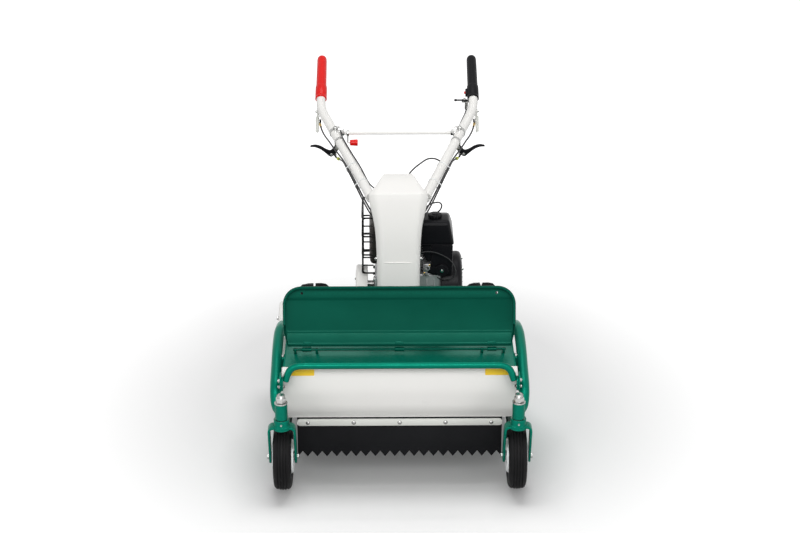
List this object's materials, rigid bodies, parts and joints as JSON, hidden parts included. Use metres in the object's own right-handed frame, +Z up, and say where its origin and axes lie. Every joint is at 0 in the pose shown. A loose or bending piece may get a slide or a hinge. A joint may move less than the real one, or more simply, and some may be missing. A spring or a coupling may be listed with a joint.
{
  "type": "walk-behind hammer knife mower",
  "caption": "Walk-behind flail mower with a knife rotor, raised front guard, toothed rubber skirt, swivel casters, rear drive wheels, petrol engine and a high handle with levers",
  "frame": {"origin": "on the floor, under the middle of the mower's bounding box", "axes": "+Z up, -Y towards the nose of the deck, +X to the walker's left"},
  "size_m": [0.8556, 1.4832, 1.0064],
  "materials": {
    "green_paint": "glossy",
    "white_paint": "glossy",
    "white_plastic": "satin",
    "grey_paint": "satin",
    "rubber": "matte",
    "tyre": "matte",
    "zinc_plate": "zinc plated",
    "red_plastic": "glossy",
    "black_plastic": "satin",
    "black_paint": "satin",
    "steel": "machined",
    "cast_aluminium": "as cast"
  },
  "bodies": {
    "chassis": {"deck_hood": "green_paint", "side_plate_left": "green_paint", "side_plate_right": "green_paint", "front_panel": "white_paint", "rubber_skirt": "rubber", "skirt_clamp_bar": "grey_paint", "rear_flap": "rubber", "guard_hinge_rod": "zinc_plate", "bumper_pipe": "green_paint", "side_pipe_left": "green_paint", "side_pipe_right": "green_paint", "engine_bed": "green_paint", "rotor_bearing_left": "grey_paint", "rotor_bearing_right": "grey_paint", "engine_belt": "rubber", "rotor_belt": "rubber", "rotor_belt_cover": "white_paint", "engine_belt_cover": "white_paint", "transmission_case": "cast_aluminium", "engine_block": "cast_aluminium", "fan_housing": "black_plastic", "fuel_tank": "black_plastic", "engine_shroud": "black_plastic", "carburettor": "cast_aluminium", "muffler": "black_paint", "muffler_guard": "black_paint", "column_cover": "white_paint", "column_frame": "white_paint", "crossbar": "white_paint", "clutch_cable_left": "rubber", "clutch_cable_right": "rubber", "handle_tube_left": "white_paint", "handle_tube_right": "white_paint", "grip_left": "black_plastic", "grip_right": "red_plastic"},
    "front_guard": {"guard_plate": "green_paint"},
    "caster_left": {"caster_fork_left": "green_paint", "caster_axle_bolt_left": "zinc_plate"},
    "caster_right": {"caster_fork_right": "green_paint", "caster_axle_bolt_right": "zinc_plate"},
    "caster_wheel_left": {"caster_tyre_left": "tyre", "caster_hub_left": "white_plastic"},
    "caster_wheel_right": {"caster_tyre_right": "tyre", "caster_hub_right": "white_plastic"},
    "drive_wheel_left": {"rear_tyre_left": "tyre", "rear_wheel_left": "white_paint"},
    "drive_wheel_right": {"rear_tyre_right": "tyre", "rear_wheel_right": "white_paint"},
    "knife_rotor": {"rotor": "steel", "rotor_pulley": "steel"},
    "crank": {"engine_pulley": "steel"},
    "countershaft": {"counter_shaft": "steel"},
    "side_lever_left": {"side_clutch_lever_left": "black_paint"},
    "side_lever_right": {"side_clutch_lever_right": "black_paint"},
    "squeeze_lever_left": {"hand_lever_left": "white_paint"},
    "squeeze_lever_right": {"hand_lever_right": "white_paint"},
    "shifter": {"shift_lever": "red_plastic"},
    "throttle": {"throttle_lever": "black_plastic"},
    "starter_grip": {"recoil_grip": "black_plastic"},
    "tank_cap": {"fuel_cap": "black_plastic"}
  },
  "joints": [
    {"name": "guard_fold", "type": "hinge", "parent": "chassis", "child": "front_guard", "pos_m": [0, -0.46158, 0.4053], "axis": [1, 0, 0], "range_deg": [0, 97]},
    {"name": "caster_swivel_left", "type": "hinge", "parent": "chassis", "child": "caster_left", "pos_m": [0.376, -0.66858, 0.243], "axis": [0, 0, 1], "continuous": true},
    {"name": "caster_swivel_right", "type": "hinge", "parent": "chassis", "child": "caster_right", "pos_m": [-0.376, -0.66858, 0.243], "axis": [0, 0, 1], "continuous": true},
    {"name": "caster_roll_left", "type": "hinge", "parent": "caster_left", "child": "caster_wheel_left", "pos_m": [0.376, -0.63358, 0.10807], "axis": [1, 0, 0], "continuous": true},
    {"name": "caster_roll_right", "type": "hinge", "parent": "caster_right", "child": "caster_wheel_right", "pos_m": [-0.376, -0.63358, 0.10807], "axis": [1, 0, 0], "continuous": true},
    {"name": "wheel_roll_left", "type": "hinge", "parent": "chassis", "child": "drive_wheel_left", "pos_m": [0.3, 0.16642, 0.16396], "axis": [1, 0, 0], "continuous": true},
    {"name": "wheel_roll_right", "type": "hinge", "parent": "chassis", "child": "drive_wheel_right", "pos_m": [-0.3, 0.16642, 0.16396], "axis": [1, 0, 0], "continuous": true},
    {"name": "rotor_spin", "type": "hinge", "parent": "chassis", "child": "knife_rotor", "pos_m": [0, -0.33358, 0.17], "axis": [1, 0, 0], "continuous": true},
    {"name": "crank_spin", "type": "hinge", "parent": "chassis", "child": "crank", "pos_m": [0, 0.09642, 0.375], "axis": [1, 0, 0], "continuous": true},
    {"name": "countershaft_spin", "type": "hinge", "parent": "chassis", "child": "countershaft", "pos_m": [0, -0.05858, 0.29], "axis": [1, 0, 0], "continuous": true},
    {"name": "side_lever_pull_left", "type": "hinge", "parent": "chassis", "child": "side_lever_left", "pos_m": [0.212, 0.31142, 0.806], "axis": [0, 1, 0], "range_deg": [-18, 0], "stiffness_Nm_per_rad": 2, "springref_deg": 17.19},
    {"name": "side_lever_pull_right", "type": "hinge", "parent": "chassis", "child": "side_lever_right", "pos_m": [-0.212, 0.31142, 0.806], "axis": [0, 1, 0], "range_deg": [0, 18], "stiffness_Nm_per_rad": 2, "springref_deg": -17.19},
    {"name": "squeeze_left", "type": "hinge", "parent": "chassis", "child": "squeeze_lever_left", "pos_m": [0.2865, 0.51642, 0.864], "axis": [1, 0, 0], "range_deg": [0, 6], "stiffness_Nm_per_rad": 3, "springref_deg": -17.19},
    {"name": "squeeze_right", "type": "hinge", "parent": "chassis", "child": "squeeze_lever_right", "pos_m": [-0.2865, 0.51642, 0.864], "axis": [1, 0, 0], "range_deg": [0, 6], "stiffness_Nm_per_rad": 3, "springref_deg": -17.19},
    {"name": "shift", "type": "hinge", "parent": "chassis", "child": "shifter", "pos_m": [-0.1755, 0.34442, 0.84591], "axis": [1, 0, 0], "range_deg": [-20, 20]},
    {"name": "throttle_turn", "type": "hinge", "parent": "chassis", "child": "throttle", "pos_m": [0.243, 0.52642, 0.8998], "axis": [0, 0, 1], "range_deg": [-30, 30]},
    {"name": "starter_pull", "type": "slide", "parent": "chassis", "child": "starter_grip", "axis": [1, 0, 0], "range_m": [0, 0.6], "stiffness_N_per_m": 15, "springref_m": -0.5},
    {"name": "tank_cap_turn", "type": "hinge", "parent": "chassis", "child": "tank_cap", "pos_m": [0.126, 0.02642, 0.66], "axis": [0, 0, 1], "range_deg": [0, 90]}
  ],
  "couplings": [
    {"joint": "crank_spin", "follows": "rotor_spin", "ratio": 1.1944},
    {"joint": "countershaft_spin", "follows": "rotor_spin", "ratio": 0.89583}
  ]
}
